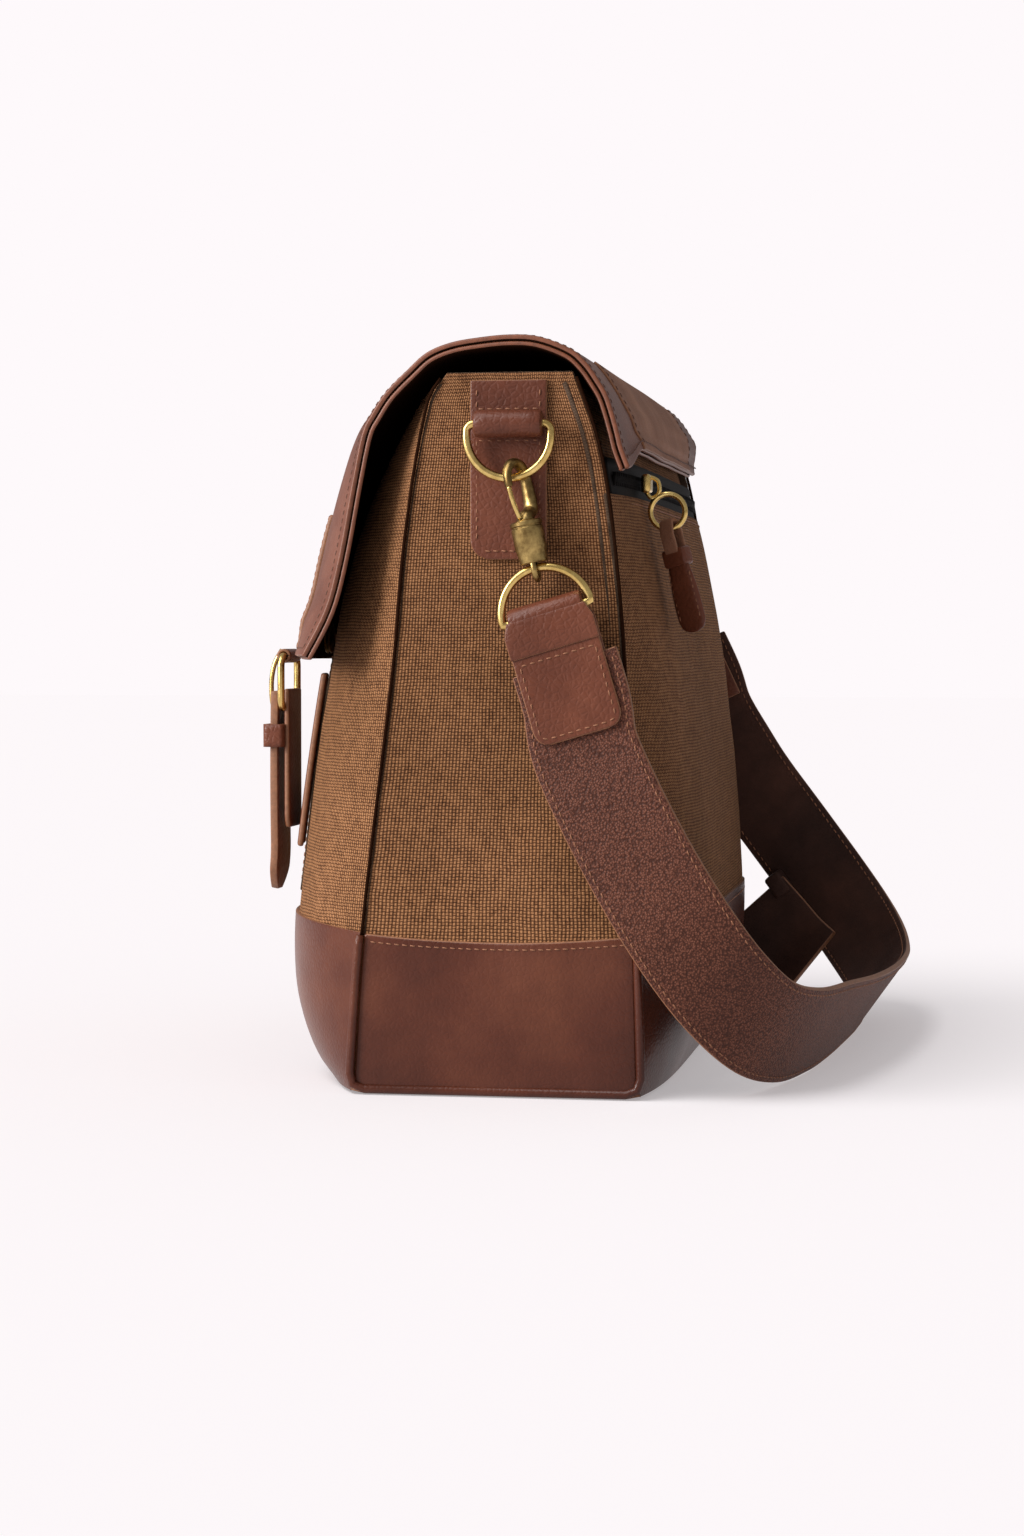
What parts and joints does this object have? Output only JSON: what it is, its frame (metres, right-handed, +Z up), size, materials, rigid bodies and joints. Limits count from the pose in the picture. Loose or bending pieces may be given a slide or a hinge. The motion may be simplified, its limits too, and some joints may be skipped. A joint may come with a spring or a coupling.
{
  "type": "messenger bag",
  "caption": "Canvas messenger bag on a leather base, with a long flap, buckled closures, a back zip pocket and a leather shoulder strap on snap hooks.",
  "frame": {"origin": "middle of the flat base, on the surface that the bag stands on", "axes": "+Z up, X along the bag with +X the near end, -Y the flap's front, +Y the back"},
  "size_m": [0.3788, 0.2756, 0.316],
  "materials": {
    "canvas": "coarse waxed canvas weave",
    "base_leather": "glossy smooth leather",
    "leather": "semi-gloss grained leather",
    "piping": "semi-gloss",
    "strap": "matte pebbled",
    "brass": "antique satin",
    "zip_black": "matte",
    "board": "matte",
    "lining": "matte"
  },
  "bodies": {
    "bag": {"back_pocket": "canvas", "base_back": "base_leather", "base_bottom": "base_leather", "base_end_far": "base_leather", "base_end_near": "base_leather", "base_front": "base_leather", "canvas_back": "canvas", "canvas_front": "canvas", "closure_tab_far": "leather", "closure_tab_near": "leather", "flap_yoke": "leather", "front_pocket": "canvas", "gusset_far": "canvas", "gusset_near": "canvas", "laptop_divider": "lining", "piping_far": "piping", "piping_near": "piping", "ring_loop_far": "leather", "ring_loop_near": "leather", "ring_patch_far": "leather", "ring_patch_near": "leather", "snap_socket_far": "brass", "snap_socket_near": "brass", "stiffener_board": "board", "zip_tape": "zip_black"},
    "flap": {"flap": "leather", "closure_strap_near": "leather", "closure_strap_far": "leather", "snap_cap_near": "brass", "snap_cap_far": "brass"},
    "zip_slider": {"zip_slider": "brass"},
    "zip_pull": {"zip_ring": "brass", "zip_pull": "leather"},
    "strap": {"shoulder_strap": "strap", "strap_tail": "strap", "strap_tab_near": "leather", "strap_loop_near": "leather", "strap_ring_near": "brass", "swivel_eye_near": "brass", "strap_tab_far": "leather", "strap_loop_far": "leather", "strap_ring_far": "brass", "swivel_eye_far": "brass"},
    "closure_near": {"buckle_frame_near": "brass", "closure_tail_near": "leather"},
    "prong_near": {"buckle_prong_near": "brass"},
    "keeper_near": {"keeper_near": "leather"},
    "d_ring_near": {"d_ring_near": "brass"},
    "hook_near": {"snap_hook_near": "brass", "hook_barrel_near": "brass"},
    "gate_near": {"hook_gate_near": "brass"},
    "closure_far": {"buckle_frame_far": "brass", "closure_tail_far": "leather"},
    "prong_far": {"buckle_prong_far": "brass"},
    "keeper_far": {"keeper_far": "leather"},
    "d_ring_far": {"d_ring_far": "brass"},
    "hook_far": {"snap_hook_far": "brass", "hook_barrel_far": "brass"},
    "gate_far": {"hook_gate_far": "brass"}
  },
  "joints": [
    {"name": "flap_open", "type": "hinge", "parent": "bag", "child": "flap", "pos_m": [0, 0.0455, 0.292], "axis": [-1, 0, 0], "range_deg": [0, 125]},
    {"name": "zip_slide", "type": "slide", "parent": "bag", "child": "zip_slider", "axis": [-1, 0, 0], "range_m": [0, 0.22]},
    {"name": "zip_pull_swing", "type": "hinge", "parent": "zip_slider", "child": "zip_pull", "pos_m": [0.108, 0.0605, 0.254], "axis": [1, 0, 0], "range_deg": [0, 80]},
    {"name": "strap_swing", "type": "hinge", "parent": "bag", "child": "strap", "pos_m": [0, 0.0075, 0.2742], "axis": [1, 0, 0], "range_deg": [0, 50]},
    {"name": "closure_swing_near", "type": "hinge", "parent": "flap", "child": "closure_near", "pos_m": [0.1, -0.104, 0.1835], "axis": [-1, 0, 0], "range_deg": [0, 50]},
    {"name": "prong_lift_near", "type": "hinge", "parent": "closure_near", "child": "prong_near", "pos_m": [0.1, -0.1072, 0.186], "axis": [-1, 0, 0], "range_deg": [0, 70]},
    {"name": "keeper_slide_near", "type": "slide", "parent": "closure_near", "child": "keeper_near", "axis": [0, 0, 1], "range_m": [-0.04, 0.002]},
    {"name": "d_ring_lift_near", "type": "hinge", "parent": "bag", "child": "d_ring_near", "pos_m": [0.1795, 0.0075, 0.279], "axis": [0, -1, 0], "range_deg": [0, 10]},
    {"name": "hook_swivel_near", "type": "hinge", "parent": "strap", "child": "hook_near", "pos_m": [0.1818, 0.0075, 0.2742], "axis": [0, 0.2079, -0.9781], "range_deg": [-10, 10]},
    {"name": "gate_open_near", "type": "hinge", "parent": "hook_near", "child": "gate_near", "pos_m": [0.1878, 0.01395, 0.24388], "axis": [0, -0.9781, -0.2079], "range_deg": [0, 22], "stiffness_Nm_per_rad": 0.004},
    {"name": "closure_swing_far", "type": "hinge", "parent": "flap", "child": "closure_far", "pos_m": [-0.1, -0.104, 0.1835], "axis": [-1, 0, 0], "range_deg": [0, 50]},
    {"name": "prong_lift_far", "type": "hinge", "parent": "closure_far", "child": "prong_far", "pos_m": [-0.1, -0.1072, 0.186], "axis": [-1, 0, 0], "range_deg": [0, 70]},
    {"name": "keeper_slide_far", "type": "slide", "parent": "closure_far", "child": "keeper_far", "axis": [0, 0, 1], "range_m": [-0.04, 0.002]},
    {"name": "d_ring_lift_far", "type": "hinge", "parent": "bag", "child": "d_ring_far", "pos_m": [-0.1795, 0.0075, 0.279], "axis": [0, 1, 0], "range_deg": [0, 10]},
    {"name": "hook_swivel_far", "type": "hinge", "parent": "strap", "child": "hook_far", "pos_m": [-0.1818, 0.0075, 0.2742], "axis": [0, 0.2924, -0.9563], "range_deg": [-10, 10]},
    {"name": "gate_open_far", "type": "hinge", "parent": "hook_far", "child": "gate_far", "pos_m": [-0.1878, 0.01656, 0.24455], "axis": [0, 0.9563, 0.2924], "range_deg": [0, 22], "stiffness_Nm_per_rad": 0.004}
  ]
}
